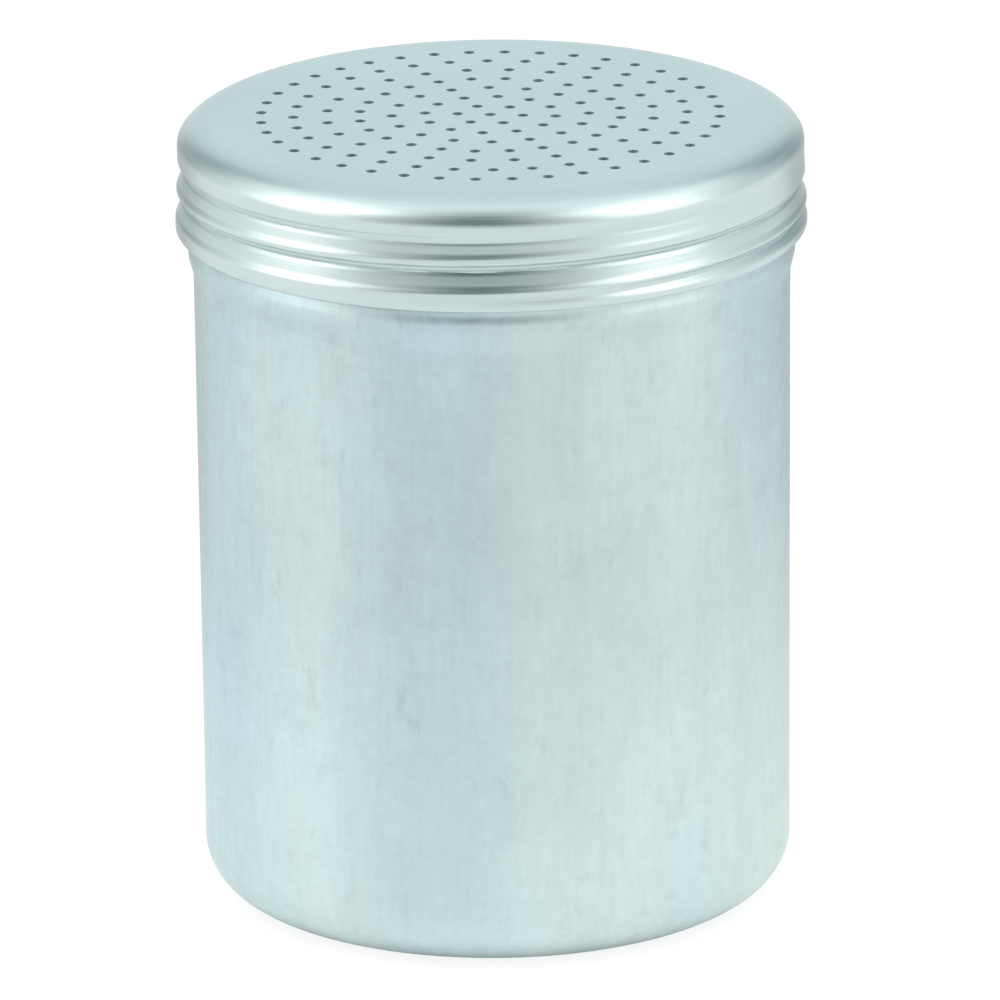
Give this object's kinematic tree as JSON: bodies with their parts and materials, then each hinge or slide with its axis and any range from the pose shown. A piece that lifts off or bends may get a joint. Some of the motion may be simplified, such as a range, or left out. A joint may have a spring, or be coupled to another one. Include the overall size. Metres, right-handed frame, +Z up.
{
  "type": "screw-top spice shaker",
  "caption": "Round drawn sheet-metal shaker with a rounded base edge and a perforated screw lid that turns on a rolled thread.",
  "frame": {"origin": "centre of the ring that the canister rests on, on the table plane", "axes": "+Z up along the canister's axis; -Y is the front, which faces the viewer; +X is to the viewer's right"},
  "size_m": [0.0708, 0.0708, 0.09],
  "materials": {
    "canister_metal": "matt satin aluminium with a faint mottle and light wear",
    "lid_metal": "fine satin top with a shinier rolled skirt"
  },
  "bodies": {
    "canister_body": {"canister": "canister_metal"},
    "edge_body": {"lid_rolled_edge": "lid_metal"},
    "lid_body": {"lid": "lid_metal"}
  },
  "joints": [
    {"name": "lid_rise", "type": "slide", "parent": "canister_body", "child": "edge_body", "axis": [0, 0, 1], "range_m": [0, 0.0128]},
    {"name": "lid_turn", "type": "hinge", "parent": "edge_body", "child": "lid_body", "pos_m": [0, 0, 0.0774], "axis": [0, 0, 1], "range_deg": [0, 1350]}
  ],
  "couplings": [
    {"joint": "lid_rise", "follows": "lid_turn", "m_per_rad": 0.00054113}
  ]
}
